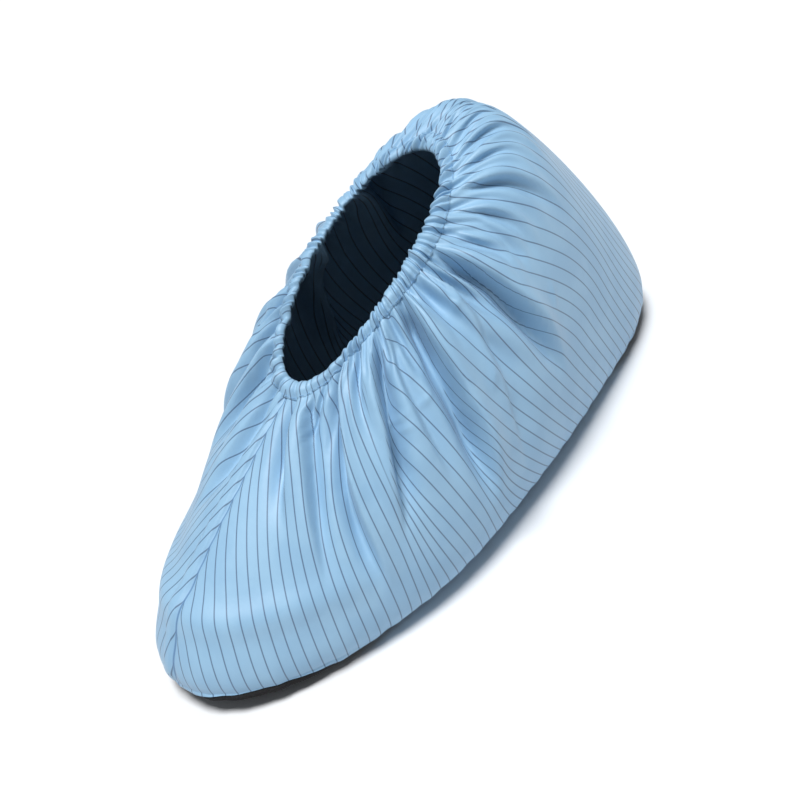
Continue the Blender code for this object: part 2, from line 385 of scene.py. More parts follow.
# Soft studio light from above, as right, up and towards the camera, its width in degrees and its strength
KEY_WAY = (-0.26, 0.60, 0.75)
KEY_WIDTH = 22.0
KEY_POWER = 3.75
KEY_DISTANCE = 2.0
AMBIENT = 0.19
SKY = (0.95, 1.0, 1.05, 1.0)
FLOOR = (0.765, 0.78, 0.80, 1.0)
FLOOR_HALF = 60.0

rng = np.random.default_rng(7)
GATHER_PHASES = rng.uniform(0.0, 2 * np.pi, (2, len(GATHERS), 4))


# Curves and grids

def smoothstep(x):
    x = np.clip(x, 0.0, 1.0)
    return x * x * (3 - 2 * x)


def smooth_table(x, at, value):
    """Smooth curve through a short table, level at both ends."""
    at = np.asarray(at, float)
    value = np.asarray(value, float)
    slope = np.zeros(len(at))
    slope[1:-1] = (value[2:] - value[:-2]) / (at[2:] - at[:-2])
    cell = np.clip(np.searchsorted(at, x, side="right") - 1, 0, len(at) - 2)
    span = at[cell + 1] - at[cell]
    way = np.clip((x - at[cell]) / span, 0.0, 1.0)
    start = (1 + 2 * way) * (1 - way) ** 2
    leave = way * (1 - way) ** 2
    end = way * way * (3 - 2 * way)
    arrive = way * way * (way - 1)
    return (start * value[cell] + leave * span * slope[cell]
            + end * value[cell + 1] + arrive * span * slope[cell + 1])


def even_curve(x, y, count):
    """The same plane curve as evenly spaced points."""
    run = np.concatenate([[0.0], np.cumsum(np.hypot(np.diff(x), np.diff(y)))])
    at = np.linspace(0.0, run[-1], count)
    return np.interp(at, run, x), np.interp(at, run, y)


def sole_outline(count):
    """Left half of the sole outline, toe to heel."""
    turn = np.linspace(0.0, np.pi, CURVE_POINTS)
    cosine = np.cos(turn)
    sine = np.sin(turn)
    power = np.where(cosine > 0, TOE_POWER, HEEL_POWER)
    x = 0.5 * SOLE_LENGTH * np.sign(cosine) * np.abs(cosine) ** (2 / power)
    half = smooth_table(2 * x / SOLE_LENGTH, OUTLINE_AT, OUTLINE_HALF)
    return even_curve(x, half * np.abs(sine) ** (2 / power), count)


def collar_outline(count):
    """Left half of the collar edge, front to back."""
    turn = np.linspace(0.0, np.pi, CURVE_POINTS)
    middle = 0.5 * (COLLAR_FRONT_X + COLLAR_BACK_X)
    reach = 0.5 * (COLLAR_FRONT_X - COLLAR_BACK_X)
    half = COLLAR_HALF_WIDTH * np.abs(np.sin(turn)) ** COLLAR_POWER
    x, y = even_curve(middle + reach * np.cos(turn), half, count)
    way = (x - COLLAR_BACK_X) / (COLLAR_FRONT_X - COLLAR_BACK_X)
    z = COLLAR_BACK_Z + (COLLAR_FRONT_Z - COLLAR_BACK_Z) * way + COLLAR_BOW * np.sin(np.pi * way)
    return np.stack([x, y, z], axis=1)


def spring(x):
    """Rise of the toe above the floor."""
    way = np.clip((x - SPRING_START) / (0.5 * SOLE_LENGTH - SPRING_START), 0.0, 1.0)
    return TOE_SPRING * way ** 2


def half_form(columns):
    """Left wall as a grid of points, rows from seam to collar, and the seam's outward directions."""
    station = np.linspace(0.0, 1.0, columns)
    x, y = sole_outline(columns)
    seam = np.stack([x, y, SEAM_HEIGHT + spring(x)], axis=1)
    along = np.gradient(seam[:, :2], axis=0)
    out = np.stack([-along[:, 1], along[:, 0]], axis=1)
    out /= np.linalg.norm(out, axis=1)[:, None]
    out *= np.sign((out * seam[:, :2]).sum(axis=1))[:, None]
    out[0] = (1.0, 0.0)
    out[-1] = (-1.0, 0.0)
    away = seam[:, :2].copy()
    away[:, 0] -= np.clip(x, -SPINE_REACH, SPINE_REACH)
    away /= np.linalg.norm(away, axis=1)[:, None]
    at, bulge_out, bulge_up, shoulder_out, shoulder_up, shoulder_pull = np.array(SECTIONS).T

    def raised(direction, offset, rise):
        point = seam.copy()
        point[:, :2] += direction * smooth_table(station, at, offset)[:, None]
        point[:, 2] += smooth_table(station, at, rise)
        return point

    bulge = raised(out, bulge_out, bulge_up)
    shoulder = raised(away, shoulder_out, shoulder_up)
    collar = collar_outline(columns)
    pull = smooth_table(station, at, shoulder_pull)[None, :, None]
    way = np.linspace(0.0, 1.0, FORM_STEPS)[:, None, None]
    at_seam = (1 - way) ** 3
    at_bulge = 3 * way * (1 - way) ** 2
    at_shoulder = 3 * pull * way * way * (1 - way)
    at_collar = way ** 3
    weighted = at_seam * seam + at_bulge * bulge + at_shoulder * shoulder + at_collar * collar
    return weighted / (at_seam + at_bulge + at_shoulder + at_collar), out


def lengths(grid):
    """Length of cloth from seam to collar in each column."""
    return np.linalg.norm(np.diff(grid, axis=0), axis=2).sum(axis=0)


def resample(grid, heights):
    """Each column again at the given lengths along the cloth, one list of lengths per column."""
    step = np.linalg.norm(np.diff(grid, axis=0), axis=2)
    run = np.vstack([np.zeros(grid.shape[1]), np.cumsum(step, axis=0)])
    rows = np.empty((heights.shape[0], grid.shape[1], 3))
    for column in range(grid.shape[1]):
        for axis in range(3):
            rows[:, column, axis] = np.interp(heights[:, column], run[:, column], grid[:, column, axis])
    return rows


def ring_of(left, right):
    """Columns of the left half, toe to heel, then of the right half back to the toe."""
    return np.concatenate([left, right[:, -2:0:-1]], axis=1)


def mirrored(half):
    return half * np.array([1.0, -1.0, 1.0])


def round_ring(values, columns):
    """A value given from toe to heel, for each column of a ring."""
    half = smooth_table(np.linspace(0.0, 1.0, columns // 2 + 1), SEAM_AT, values)[None]
    return ring_of(half, half)[0]


def outward(rings):
    """Unit normals of closed rings of points that face away from the foot."""
    along = np.roll(rings, -1, axis=1) - np.roll(rings, 1, axis=1)
    up = np.gradient(rings, axis=0)
    normal = np.cross(along, up)
    normal /= np.linalg.norm(normal, axis=2)[:, :, None]
    return normal


def ring_faces(rings, columns, closed):
    """Quads between successive rings, and from the last back to the first when closed."""
    faces = []
    last = rings if closed else rings - 1
    for row in range(last):
        above = (row + 1) % rings
        for column in range(columns):
            right = (column + 1) % columns
            faces.append((row * columns + column, row * columns + right,
                          above * columns + right, above * columns + column))
    return faces


def add_piece(name, points, faces, material, panel=None, seam=None):
    """One mesh piece of the cover, with the place on the flat cloth kept at each point."""
    moved = (np.asarray(points).reshape(-1, 3) + np.array([CENTRE_SHIFT, 0.0, 0.0])) * MM
    mesh = bpy.data.meshes.new(name)
    mesh.from_pydata(moved.tolist(), [], faces)
    mesh.update()
    mesh.polygons.foreach_set("use_smooth", [True] * len(mesh.polygons))
    if panel is not None:
        store = mesh.attributes.new("panel", "FLOAT_VECTOR", "POINT")
        store.data.foreach_set("vector", np.asarray(panel, np.float32).reshape(-1))
    # The seam mask marks where the cloth gets painted shade along the front and back seams
    if seam is not None:
        store = mesh.attributes.new("seam", "FLOAT", "POINT")
        store.data.foreach_set("value", np.asarray(seam, np.float32).reshape(-1))
    mesh.materials.append(material)
    piece = bpy.data.objects.new(name, mesh)
    bpy.context.scene.collection.objects.link(piece)
    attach(piece, "root")
    return piece


# Cut of the cloth

def panel_full(station, climb, pinch, side):
    """Distance along the flat panel with the hidden widths pinched in, before the heel is eased."""
    front = FRONT_LEAN * climb ** FRONT_CURVE * (1 - np.clip(station / FRONT_REACH, 0.0, 1.0)) ** FRONT_FADE
    ease = 1 - (1 - np.clip(station / TOP_FULL, 0.0, 1.0)) ** TOP_FULL_CURVE
    top = TOP_EASE * climb ** TOP_CURVE * ease * (1 - smoothstep((station - TOP_FADE_FROM) / TOP_FADE_OVER))
    lean = np.zeros(station.shape)
    wide = pinch * (1 + LOW_SPREAD * (1 - climb) ** SPREAD_POWER) + TOP_SPREAD * climb ** SPREAD_POWER
    for top_station, low_station, low_climb, hidden in LEFT_STEPS if side > 0 else RIGHT_STEPS:
        line = low_station + (top_station - low_station) * climb
        way = np.clip((climb - low_climb) / (1 - low_climb), 0.0, 1.0)
        grow = smoothstep(way) if low_climb > 0 else way * (1 + STEP_BOW - STEP_BOW * way)
        lean = lean + hidden * grow * smoothstep((station - line) / wide + 0.5)
    return HALF_PERIMETER * station + front + top + lean


def panel_across(station, climb, side):
    """Distance along the flat panel, across the stripes."""
    loss = LEAN_LOSS * np.maximum(station - LEAN_FROM, 0.0) * climb ** 2
    return panel_full(station, climb, PINCH, side) - loss


def stripe_spread(points, across):
    """How fast the place on the flat panel changes per length of the shaped cloth."""
    along = np.roll(points, -1, axis=1) - np.roll(points, 1, axis=1)
    up = np.gradient(points, axis=0)
    by_along = np.roll(across, -1, axis=1) - np.roll(across, 1, axis=1)
    by_up = np.gradient(across, axis=0)
    along_along = (along * along).sum(axis=2)
    along_up = (along * up).sum(axis=2)
    up_up = (up * up).sum(axis=2)
    change = up_up * by_along ** 2 - 2 * along_up * by_along * by_up + along_along * by_up ** 2
    square = change / np.maximum(along_along * up_up - along_up ** 2, LEAST_CELL)
    return np.clip(np.sqrt(np.maximum(square, 0.0)), LEAST_SPREAD, MOST_SPREAD)


def fullness(station, climb):
    """Width of the cloth as a share of the smooth form's width."""
    reach = smoothstep((station - FULL_FROM) / FULL_OVER)
    side = HEEL_FULL + (1 - HEEL_FULL) * (1 - smoothstep((station - HEEL_FULL_FROM) / HEEL_FULL_OVER))
    collar_part = COLLAR_FULLNESS * climb ** COLLAR_FULL_POWER
    return 1 + reach * (collar_part + SIDE_FULLNESS * climb ** SIDE_FULL_POWER * side)


# Folds of the cloth

def pleats(place, pitch, phase):
    """Round ridges with narrow valleys between, unevenly spaced, about zero on average."""
    count = place / pitch
    count = count + FIRST_DRIFT * np.sin(2 * np.pi * count / FIRST_DRIFT_PITCHES + phase[0])
    count = count + SECOND_DRIFT * np.sin(2 * np.pi * count / SECOND_DRIFT_PITCHES + phase[1])
    ridge = np.sqrt(np.sin(np.pi * count + phase[3]) ** 2 + VALLEY_ROUND)
    change = np.sin(2 * np.pi * place / (HEIGHT_CHANGE_PITCHES * pitch) + phase[2])
    return (ridge - RIDGE_MEAN) * (1 - HEIGHT_CHANGE + HEIGHT_CHANGE * change)


def gathers(station, climb, side):
    """Fine gathers from the elastic, merging downwards."""
    reach = smooth_table(station, REACH_AT, REACH)
    sway = GATHER_SWAY * np.sin(SWAY_ALONG * station + SWAY_UP * climb + side)
    place = panel_full(station, climb, GATHER_PINCH, side) + sway
    strength = smoothstep(station / GATHER_CLEAR) * smoothstep((1 - station) / GATHER_CLEAR)
    strength = strength * smooth_table(station, GATHER_AT, LEFT_GATHER if side > 0 else RIGHT_GATHER)
    heel = smoothstep((station - HEEL_FROM) / HEEL_OVER)
    phases = GATHER_PHASES[0 if side > 0 else 1]
    total = np.zeros(station.shape)
    for (pitch, height, low, full, top, heel_share), phase in zip(GATHERS, phases):
        low_here = 1 - (1 - low) * reach
        full_here = 1 - (1 - full) * reach
        rise = smoothstep((climb - low_here) / (full_here - low_here))
        fall = 1 - (1 - top) * smoothstep((climb - full_here) / (1 - full_here))
        ridges = height * rise * fall * pleats(place, pitch, phase)
        total = total + ridges * (1 - heel * (1 - heel_share))
    return total * strength


def main_folds(station, climb, run, side):
    """Listed troughs, each with a steep wall up to a broad ridge on one side."""
    total = np.zeros(run.shape)
    folds = LEFT_FOLDS if side > 0 else RIGHT_FOLDS
    for top_station, low_station, bow, top, low, depth, half_width, ridge in folds:
        way = np.clip((top - climb[:, 0]) / (top - low), 0.0, 1.0)
        line = top_station + (low_station - top_station) * way + 4 * bow * way * (1 - way)
        middle = np.array([np.interp(at, station[0], row) for at, row in zip(line, run)])
        widen = smoothstep((1 - climb) / FOLD_WIDEN)
        width = (FOLD_COLLAR_WIDTH + (1 - FOLD_COLLAR_WIDTH) * widen) * half_width
        low_fade = min(FOLD_FADE, FOLD_FADE_SHARE * (top - low))
        fade = smoothstep((climb - low) / low_fade) * smoothstep((FOLD_END - climb) / FOLD_END_FADE)
        fade = fade * smoothstep((top + FOLD_TOP_FADE - climb) / FOLD_TOP_FADE)
        towards = (run - middle[:, None]) / width * np.sign(ridge)
        trough = -np.exp(-(towards / np.where(towards > 0, TROUGH_STEEP, TROUGH_BROAD)) ** 2)
        past = towards - 1
        beside = abs(ridge) * np.exp(-(past / np.where(past > 0, RIDGE_BROAD, RIDGE_STEEP)) ** 2)
        total += depth * fade * (trough + beside)
    return total


def crinkles(station, climb, run, heights, side):
    """Short soft ridges that cross the folds."""
    total = np.zeros(run.shape)
    rows = LEFT_CRINKLES if side > 0 else RIGHT_CRINKLES
    for at, level, half_length, lean, half_width, rise in rows:
        middle = np.array([np.interp(at, station[0], row) for row in run])
        centre = level * np.interp(at, station[0], heights[-1] / climb[-1])
        ahead = run - middle[:, None]
        up = heights - centre
        turn = np.radians(lean)
        along = ahead * np.cos(turn) + up * np.sin(turn)
        beside = up * np.cos(turn) - ahead * np.sin(turn)
        total += rise * np.exp(-(beside / half_width) ** 2) * (1 - smoothstep(np.abs(along) / half_length))
    return total


def seam_pinch(climb, run, side):
    """Groove at the front and back seams, with the seam allowance pressed to the right."""
    back = run[:, -1:] - run
    stripes_passed = FRONT_LEAN * climb ** FRONT_CURVE / STRIPE_PITCH
    pucker = 1 - SEAM_PUCKER + SEAM_PUCKER * np.cos(2 * np.pi * stripes_passed)
    groove = -FRONT_GROOVE * pucker * np.exp(-(run / GROOVE_HALF) ** 2)
    groove = groove - BACK_GROOVE * np.exp(-(back / GROOVE_HALF) ** 2)
    if side < 0:
        rise = smoothstep((run - ALLOWANCE_FROM) / ALLOWANCE_RISE)
        groove += ALLOWANCE * rise * (1 - smoothstep((run - ALLOWANCE_TO) / ALLOWANCE_FALL))
    return groove * smoothstep(climb / SEAM_START)


def hem_waves(station, climb, side):
    """Slight waves where the cloth is eased onto the sole."""
    rise = 1 - smoothstep(climb / HEM_WAVE_TOP)
    first = np.sin(2 * np.pi * station * FIRST_WAVES + FIRST_PHASE * side)
    second = np.sin(2 * np.pi * station * SECOND_WAVES + SECOND_PHASE + side)
    height = HEM_WAVE * rise * (first + SECOND_SHARE * second)
    return height * smoothstep(station / HEM_WAVE_CLEAR) * smoothstep((1 - station) / HEM_WAVE_CLEAR)


def toe_break(station, climb):
    """Soft edge round the toe where the top turns down to the wall."""
    edge = TOE_EDGE * np.exp(-((climb - TOE_EDGE_CLIMB) / TOE_EDGE_HALF) ** 2)
    return edge * (1 - smoothstep((station - TOE_EDGE_FROM) / TOE_EDGE_OVER))


def edge_turn(edge, lean, out, share):
    """Row of points on the turn from the wall's lower edge to the flat of the sole."""
    floor = spring(edge[:, 0]) + DOT_HEIGHT
    drop = (edge[:, 2] - floor - EDGE_CLEAR) / np.maximum(lean[:, 2], LEAST_LEAN)
    knee = edge - lean * drop[:, None]
    knee[:, :2] += out * round_ring(SEAM_FLARE, edge.shape[0])[:, None]
    foot = edge.copy()
    foot[:, :2] -= out * SOLE_ROLL
    foot[:, 2] = spring(foot[:, 0]) + DOT_HEIGHT
    share = np.broadcast_to(share, edge.shape[:1])[:, None]
    return (1 - share) ** 2 * edge + 2 * share * (1 - share) * knee + share ** 2 * foot


# Settling of the cloth

def waves_in(length, rings):
    """How many waves fit in a length, for each number of waves round each closed ring of points."""
    girth = np.linalg.norm(np.roll(rings, -1, axis=1) - rings, axis=2).sum(axis=1)
    return np.arange(rings.shape[1] // 2 + 1)[None, :] * (length / girth)[:, None]


def calmed(values, rings):
    """Values round closed rings of points, without the ripples finer than the casing can hold."""
    too_fine = 1 + waves_in(FINEST_RIPPLE, rings) ** RIPPLE_POWER
    return np.fft.irfft(np.fft.rfft(values, axis=1) / too_fine, values.shape[1], axis=1)


def settle(start, shaped, across, up, free, sewn, ripple):
    """Let the cloth settle: edges return to their own lengths, with no ripple finer than it can hold."""
    points = start.copy()
    too_broad = np.exp(-waves_in(BULGE, shaped) ** 2)
    too_fine = 1 + waves_in(ripple, shaped) ** RIPPLE_POWER
    keep = ((1 - too_broad) / too_fine)[:, :, None]
    slant = np.sqrt(across[:-1] ** 2 + up ** 2)
    double_across = across + np.roll(across, -1, axis=1)
    double_up = up[1:] + up[:-1]

    def draw(step, rest, strength):
        size = np.linalg.norm(step, axis=2)
        return (0.5 * strength * (1 - rest / size))[:, :, None] * step

    for count in range(SETTLE_ROUNDS):
        move = draw(np.roll(points, -1, axis=1) - points, across, STRETCH)
        points += free * (move - np.roll(move, 1, axis=1))
        move = draw(points[1:] - points[:-1], up, STRETCH)
        points[:-1] += free[:-1] * move
        points[1:] -= free[1:] * move
        for turn in (1, -1):
            move = draw(np.roll(points[1:], -turn, axis=1) - points[:-1], slant, SHEAR)
            points[:-1] += free[:-1] * move
            points[1:] -= free[1:] * np.roll(move, turn, axis=1)
        move = draw(np.roll(points, -2, axis=1) - points, double_across, BEND)
        points += free * (move - np.roll(move, 2, axis=1))
        move = draw(points[2:] - points[:-2], double_up, BEND)
        points[:-2] += free[:-2] * move
        points[2:] -= free[2:] * move
        points += free * (HOLD + sewn) * (start - points)
        if count % SMOOTH_EVERY == SMOOTH_EVERY - 1:
            calm = np.fft.irfft(np.fft.rfft(points - shaped, axis=1) * keep, start.shape[1], axis=1)
            calm[1:-1] += CALM * (calm[2:] - 2 * calm[1:-1] + calm[:-2])
            points += free * (shaped + calm - points)
    return points


def cloth_rows(half, heights):
    """Rings at the given lengths up each column: form, normals, folds, gathers, panel, fullness, detail."""
    whole = lengths(half)
    rows = resample(half, heights)
    station = np.broadcast_to(np.linspace(0.0, 1.0, rows.shape[1]), heights.shape)
    climb = heights / whole
    step = np.linalg.norm(np.diff(rows, axis=1), axis=2)
    run = np.concatenate([np.zeros((rows.shape[0], 1)), np.cumsum(step, axis=1)], axis=1)
    base = ring_of(rows, mirrored(rows))
    normal = outward(base)
    folds = ring_of(*(main_folds(station, climb, run, side)
                      + crinkles(station, climb, run, heights, side)
                      + toe_break(station, climb) for side in SIDES))
    ripples = calmed(ring_of(*(gathers(station, climb, side) for side in SIDES)), base)
    detail = ring_of(*(seam_pinch(climb, run, side) + hem_waves(station, climb, side) for side in SIDES))
    across = ring_of(*(panel_across(station, climb, side) for side in SIDES))
    full = fullness(station, climb)
    panel = np.stack([across, ring_of(heights, heights), np.zeros(folds.shape)], axis=2)
    return base, normal, folds, ripples, panel, ring_of(full, full), detail


# Materials

def node_of(tree, kind, inputs=None, **settings):
    """A shader node with its settings and unlinked inputs filled in."""
    node = tree.nodes.new(kind)
    for name, value in settings.items():
        setattr(node, name, value)
    for name, value in (inputs or {}).items():
        node.inputs[name].default_value = value
    return node


def math_node(tree, operation, first, second=None):
    node = node_of(tree, "ShaderNodeMath", operation=operation)
    for socket, value in ((0, first), (1, second)):
        if value is None:
            continue
        if isinstance(value, (int, float)):
            node.inputs[socket].default_value = value
        else:
            tree.links.new(value, node.inputs[socket])
    return node.outputs[0]


def ramp_between(tree, value, low, high, out_low, out_high):
    """Smooth change from one number to another as the value passes between two limits."""
    node = node_of(tree, "ShaderNodeMapRange", interpolation_type="SMOOTHSTEP")
    tree.links.new(value, node.inputs[0])
    for socket, number in zip((1, 2, 3, 4), (low, high, out_low, out_high)):
        node.inputs[socket].default_value = number
    return node.outputs[0]


def mix_colour(tree, share, first, second):
    """A share of the second colour over the first. Sockets 6 and 7 are a mix node's two colours."""
    node = node_of(tree, "ShaderNodeMix", data_type="RGBA")
    tree.links.new(share, node.inputs[0])
    for socket, value in ((6, first), (7, second)):
        if isinstance(value, tuple):
            node.inputs[socket].default_value = value
        else:
            tree.links.new(value, node.inputs[socket])
    return node.outputs[2]


def new_material(name, colour, roughness):
    material = bpy.data.materials.new(name)
    material.use_nodes = True
    shader = material.node_tree.nodes["Principled BSDF"]
    shader.inputs["Base Color"].default_value = colour
    shader.inputs["Roughness"].default_value = roughness
    return material, material.node_tree, shader


def stripe_lines(tree, across, spread):
    """Strength of the dark threads at a place on the flat panel, drawn evenly wide on the shaped cloth."""
    turn = math_node(tree, "FRACT", math_node(tree, "DIVIDE", across, STRIPE_PITCH))
    off = math_node(tree, "ABSOLUTE", math_node(tree, "SUBTRACT", turn, 0.5))
    off = math_node(tree, "MULTIPLY", off, STRIPE_PITCH)
    off = math_node(tree, "DIVIDE", off, spread)
    thin = ramp_between(tree, off, STRIPE_CORE, STRIPE_EDGE, STRIPE_STRENGTH, 0.0)
    open_cloth = ramp_between(tree, spread, STRIPE_SEEN, STRIPE_HIDDEN, 1.0, 0.0)
    return math_node(tree, "MULTIPLY", thin, open_cloth)


def cloth_material():
    """Light blue polyester with thin dark conductive threads, and painted shade along the seams."""
    material, tree, shader = new_material("striped_cloth", CLOTH_BLUE, 0.48)
    place = node_of(tree, "ShaderNodeAttribute", attribute_name="panel")
    apart = node_of(tree, "ShaderNodeSeparateXYZ")
    tree.links.new(place.outputs["Vector"], apart.inputs[0])
    across, up, spread = apart.outputs
    coords = node_of(tree, "ShaderNodeTexCoord")
    cloud = node_of(tree, "ShaderNodeTexNoise", {"Scale": 60.0, "Detail": 3.0})
    tree.links.new(coords.outputs["Object"], cloud.inputs["Vector"])
    cloudy = ramp_between(tree, cloud.outputs[0], 0.35, 0.65, 0.0, 1.0)
    plain = mix_colour(tree, cloudy, CLOTH_BLUE, CLOTH_SHADE)
    striped = mix_colour(tree, stripe_lines(tree, across, spread), plain, STRIPE_DARK)
    # Painted shade along the front and back seams: the seam mask darkens the cloth where their grooves
    # would cast shadow
    sewn = node_of(tree, "ShaderNodeAttribute", attribute_name="seam")
    shade = ramp_between(tree, sewn.outputs["Fac"], 0.15, 0.75, 0.0, 0.80)
    tree.links.new(mix_colour(tree, shade, striped, SEAM_PAINTED_SHADE), shader.inputs["Base Color"])
    warp = math_node(tree, "SINE", math_node(tree, "MULTIPLY", across, 2 * np.pi / WEAVE_PITCH))
    weft = math_node(tree, "SINE", math_node(tree, "MULTIPLY", up, 2 * np.pi / WEAVE_PITCH))
    weave = node_of(tree, "ShaderNodeBump", {"Strength": 0.10, "Distance": 0.0001})
    tree.links.new(math_node(tree, "MULTIPLY", warp, weft), weave.inputs["Height"])
    crumple = node_of(tree, "ShaderNodeTexNoise", {"Scale": 110.0, "Detail": 3.0})
    tree.links.new(coords.outputs["Object"], crumple.inputs["Vector"])
    soft = node_of(tree, "ShaderNodeBump", {"Strength": 0.12, "Distance": 0.002})
    tree.links.new(crumple.outputs[0], soft.inputs["Height"])
    tree.links.new(weave.outputs[0], soft.inputs["Normal"])
    tree.links.new(soft.outputs[0], shader.inputs["Normal"])
    shader.inputs["Sheen Weight"].default_value = 0.08
    shader.inputs["Sheen Roughness"].default_value = 0.4
    shader.inputs["Specular IOR Level"].default_value = 0.45
    return material


def thread_material():
    """Blue sewing thread."""
    material, tree, shader = new_material("casing_thread", THREAD_BLUE, 0.6)
    grain = node_of(tree, "ShaderNodeTexNoise", {"Scale": 900.0})
    tree.links.new(mix_colour(tree, grain.outputs[0], THREAD_LOW, THREAD_HIGH), shader.inputs["Base Color"])
    return material


def sole_material():
    """Black knitted sole cloth."""
    material, tree, shader = new_material("sole_knit", SOLE_BLACK, 0.8)
    coords = node_of(tree, "ShaderNodeTexCoord")
    knit = node_of(tree, "ShaderNodeTexVoronoi", {"Scale": 1400.0})
    tree.links.new(coords.outputs["Object"], knit.inputs["Vector"])
    bump = node_of(tree, "ShaderNodeBump", {"Strength": 0.5, "Distance": 0.0003})
    tree.links.new(knit.outputs[0], bump.inputs["Height"])
    tree.links.new(bump.outputs[0], shader.inputs["Normal"])
    tree.links.new(mix_colour(tree, knit.outputs[0], KNIT_LOW, KNIT_HIGH), shader.inputs["Base Color"])
    shader.inputs["Specular IOR Level"].default_value = 0.2
    return material


def dot_material():
    """Glossy black grip dots."""
    material, tree, shader = new_material("grip_dot", DOT_BLACK, 0.32)
    grain = node_of(tree, "ShaderNodeTexNoise", {"Scale": 700.0})
    tree.links.new(ramp_between(tree, grain.outputs[0], 0.3, 0.7, 0.26, 0.40), shader.inputs["Roughness"])
    return material


# Pieces

def build_cloth(half, out, material):
    """Both sewn side panels as one cloth wall, turned under at the lower edge."""
    top = lengths(half) - CASING_WIDTH + CASING_LAP
    rise = np.linspace(0.0, 1.0, CLOTH_ROWS + 1)
    heights = rise[:, None] * top[None, :]
    base, normal, folds, ripples, panel, full, detail = cloth_rows(half, heights)
    shaped = base + normal * folds[:, :, None]
    start = shaped + normal * ripples[:, :, None]
    across = np.linalg.norm(np.roll(base, -1, axis=1) - base, axis=2) * full
    across = np.maximum(across, np.linalg.norm(np.roll(start, -1, axis=1) - start, axis=2))
    up = np.linalg.norm(np.diff(start, axis=0), axis=2) * TAUT
    below = lengths(half) - CASING_WIDTH - heights
    below = ring_of(below, below)[:, :, None]
    free = np.where(below < 0, 0.0, 1.0)
    free[0] = 0.0
    sewn = SEWN_HOLD * np.exp(-(below / SEWN_REACH) ** 2)
    ripple = smooth_table(rise, RIPPLE_AT, RIPPLE)
    points = settle(start, shaped, across, up, free, sewn, ripple) + normal * FOLD_AFTER * folds[:, :, None]
    points = points + outward(points) * detail[:, :, None]
    edge = points[0]
    lean = points[2] - edge
    lean /= np.linalg.norm(lean, axis=1)[:, None]
    outs = ring_of(out[None], out[None] * np.array([1.0, -1.0]))[0]
    turn = round_ring(SEAM_TURN, edge.shape[0])
    hem = np.array([edge_turn(edge, lean, outs, step * turn) for step in HEM_STEPS])
    hem_panel = np.repeat(panel[:1], len(HEM_STEPS), axis=0)
    hem_panel[:, :, 1] -= HEM_DEPTH * np.array(HEM_STEPS)[:, None]
    points = np.concatenate([hem, points], axis=0)
    panel = np.concatenate([hem_panel, panel], axis=0)
    panel[:, :, 2] = stripe_spread(points, panel[:, :, 0])
    faces = ring_faces(points.shape[0], points.shape[1], False)
    # Front and back seam columns, marked for painted shade along the seams
    seam = np.zeros(points.shape[:2])
    seam[:, 0] = 1.0
    seam[:, half.shape[1] - 1] = 1.0
    piece = add_piece("cloth_upper", points, faces, material, panel, seam)
    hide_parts("upper")
    return piece, edge, lean, outs


def casing_form(half):
    """Outer and inner faces of the casing from the stitches up to the crest, with normals and panel."""
    whole = lengths(half)
    rise = np.linspace(0.0, 1.0, CASING_ROWS)
    heights = whole[None, :] - CASING_WIDTH * (1 - rise[:, None])
    base, normal, folds, ripples, panel, _, _ = cloth_rows(half, heights)
    offset = folds + ripples
    up = base[-1] - base[0]
    up /= np.linalg.norm(up, axis=1)[:, None]
    past = np.clip(rise - CASING_MIDDLE, 0.0, None) / (1 - CASING_MIDDLE)
    crest = np.sqrt(np.clip(1 - past ** 2, CASING_CREST, 1.0))
    thicken = CASING_STITCHED + (1 - CASING_STITCHED) * smoothstep(rise / CASING_MIDDLE)
    swell = 0.5 * CASING_THICK * thicken * crest
    scallop = up[None] * (SCALLOP * offset * rise[:, None] ** 2)[:, :, None]
    middle = base + normal * offset[:, :, None] + scallop
    outer = middle + normal * swell[:, None, None]
    inner = middle - normal * swell[:, None, None]
    return outer, inner, normal, panel


def build_casing(outer, inner, panel, material):
    """Casing of the elastic as one closed tube."""
    points = np.concatenate([outer, inner[::-1]], axis=0)
    places = np.concatenate([panel, panel[::-1]], axis=0)
    places[:, :, 2] = stripe_spread(points, places[:, :, 0])
    faces = ring_faces(points.shape[0], points.shape[1], True)
    piece = add_piece("casing", points, faces, material, places)
    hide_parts("elastic_collar")
    return piece


def build_stitches(outer, normal, material):
    """Row of stitches that closes the casing."""
    row = outer[STITCH_ROW]
    out = normal[STITCH_ROW]
    closed = np.vstack([row, row[:1]])
    run = np.concatenate([[0.0], np.cumsum(np.linalg.norm(np.diff(closed, axis=0), axis=1))])
    pitch = STITCH_LENGTH + STITCH_GAP
    count = int(run[-1] / pitch)
    way, lift, share = np.array(STITCH_SHAPE).T
    levels = len(STITCH_SHAPE) - 1
    turn = np.linspace(0.0, 2 * np.pi, STITCH_SIDES, endpoint=False)
    points = []
    faces = []
    for stitch in range(count):
        at = (stitch + way * STITCH_LENGTH / pitch) / count
        middle = np.stack([np.interp(at * run[-1], run, closed[:, axis]) for axis in range(3)], axis=1)
        face = np.stack([np.interp(at * run[-1], run[:-1], out[:, axis]) for axis in range(3)], axis=1)
        along = np.gradient(middle, axis=0)
        along /= np.linalg.norm(along, axis=1)[:, None]
        across = np.cross(along, face)
        first = len(points) * STITCH_SIDES
        for centre, outs, sides, rise, radius in zip(middle, face, across, lift, STITCH_RADIUS * share):
            circle = np.cos(turn)[:, None] * sides + np.sin(turn)[:, None] * outs
            points.append(centre + outs * rise + radius * circle)
        for level in range(levels):
            low = first + level * STITCH_SIDES
            high = low + STITCH_SIDES
            for corner in range(STITCH_SIDES):
                after = (corner + 1) % STITCH_SIDES
                faces.append((low + corner, low + after, high + after, high + corner))
        faces.append(tuple(first + corner for corner in range(STITCH_SIDES))[::-1])
        faces.append(tuple(first + levels * STITCH_SIDES + corner for corner in range(STITCH_SIDES)))
    return add_piece("casing_stitches", np.array(points), faces, material)


